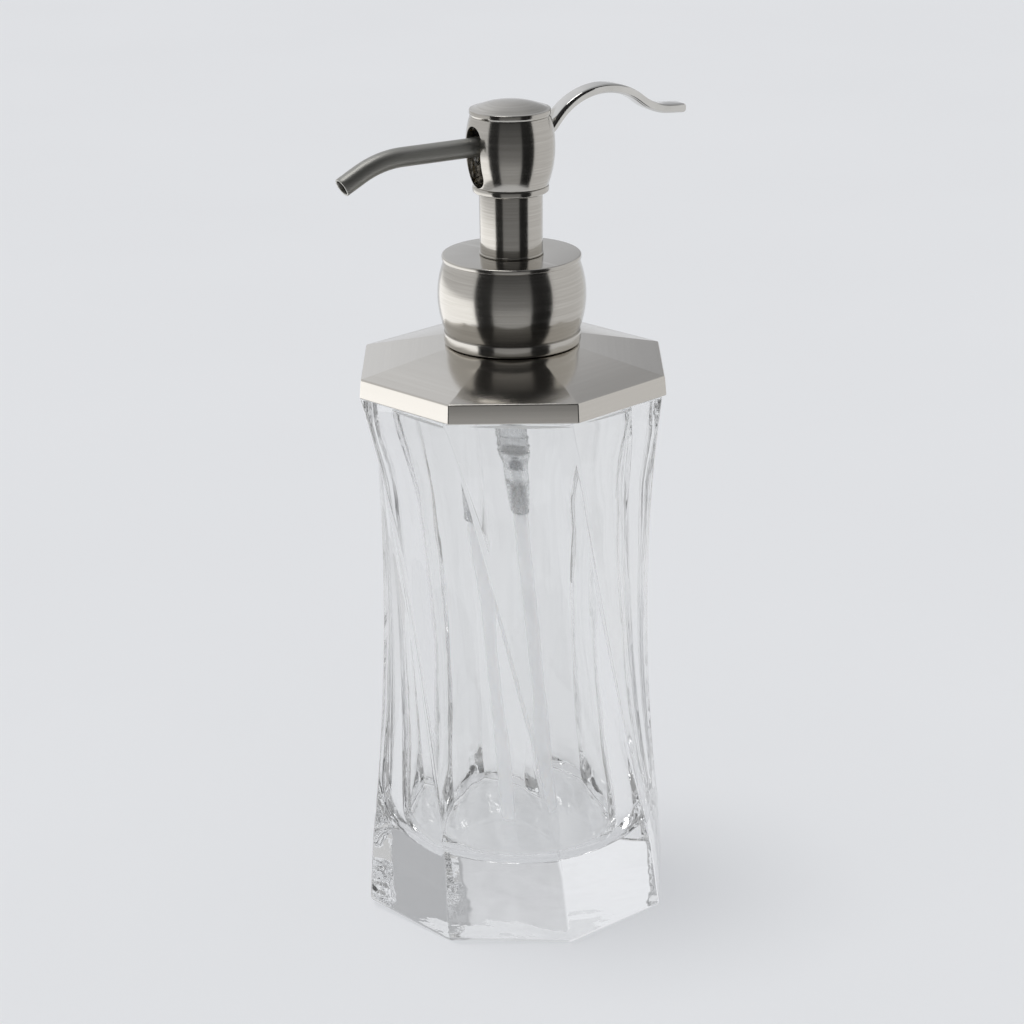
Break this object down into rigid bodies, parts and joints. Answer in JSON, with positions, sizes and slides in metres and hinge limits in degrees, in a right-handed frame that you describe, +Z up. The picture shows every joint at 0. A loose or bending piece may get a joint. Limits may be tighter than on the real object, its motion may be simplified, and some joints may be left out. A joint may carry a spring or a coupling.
{
  "type": "soap pump dispenser",
  "caption": "Twisted octagonal glass bottle with a metal lid, a screw-on collar and a slotted pump head whose side lever pushes the spout and piston down.",
  "frame": {"origin": "centre of the glass base, on the surface it stands on", "axes": "+Z up along the column; the front flat of the lid faces -Y; the spout points to 210 degrees from +X"},
  "size_m": [0.0866, 0.0778, 0.2115],
  "materials": {
    "glass": "clear pressed glass",
    "nickel": "fine brushed nickel plate, warm grey",
    "polished": "polished nickel plate",
    "steel": "plain stainless steel",
    "brass": "bare machined brass",
    "clear_plastic": "translucent natural polypropylene",
    "white_plastic": "white moulded polypropylene",
    "grey_rubber": "soft grey elastomer"
  },
  "bodies": {
    "bottle": {"glass_bottle": "glass", "mouth_seal": "grey_rubber", "lid_insert": "white_plastic", "lid_shell": "nickel", "threaded_neck": "nickel"},
    "pump_body": {"pump_housing": "clear_plastic", "housing_cap": "white_plastic", "neck_gasket": "grey_rubber", "ball_cage": "white_plastic", "dip_tube": "clear_plastic"},
    "foot_ball": {"foot_valve_ball": "steel"},
    "collar": {"closure_nut": "white_plastic", "collar_shell": "nickel", "collar_disc": "nickel"},
    "head": {"neck_column": "nickel", "guide_bush": "white_plastic", "column_locknut": "brass", "head_ring": "nickel", "head_barrel": "nickel", "lever_bracket": "steel", "lever_pins": "steel", "head_cap": "nickel", "return_spring": "steel"},
    "plunger": {"spout_block": "brass", "spout_tube": "nickel", "piston_stem": "white_plastic", "piston": "white_plastic", "piston_seal": "grey_rubber"},
    "outlet_valve": {"outlet_ball": "steel"},
    "lever_arm": {"lever": "polished"}
  },
  "joints": [
    {"name": "pump_lift", "type": "slide", "parent": "bottle", "child": "pump_body", "axis": [0, 0, 1], "range_m": [0, 0.00529]},
    {"name": "collar_turn", "type": "hinge", "parent": "pump_body", "child": "collar", "pos_m": [0, 0, 0.155], "axis": [0, 0, 1], "range_deg": [0, 450]},
    {"name": "head_swivel", "type": "hinge", "parent": "collar", "child": "head", "pos_m": [0, 0, 0.18], "axis": [0, 0, 1], "continuous": true},
    {"name": "lever_swing", "type": "hinge", "parent": "head", "child": "lever_arm", "pos_m": [-0.00546, -0.00315, 0.19576], "axis": [-0.5, 0.866, 0], "range_deg": [0, 34.17], "stiffness_Nm_per_rad": 0.045, "springref_deg": -28.65},
    {"name": "plunger_stroke", "type": "slide", "parent": "head", "child": "plunger", "axis": [0, 0, -1], "range_m": [0, 0.0048], "deforming": ["return_spring"]},
    {"name": "foot_ball_lift", "type": "slide", "parent": "pump_body", "child": "foot_ball", "axis": [0, 0, 1], "range_m": [0, 0.0012]},
    {"name": "outlet_ball_lift", "type": "slide", "parent": "plunger", "child": "outlet_valve", "axis": [0, 0, 1], "range_m": [0, 0.001]}
  ],
  "couplings": [
    {"joint": "pump_lift", "follows": "collar_turn", "m_per_rad": 0.0006737},
    {"joint": "plunger_stroke", "follows": "lever_swing", "m_per_rad": 0.0080495}
  ]
}
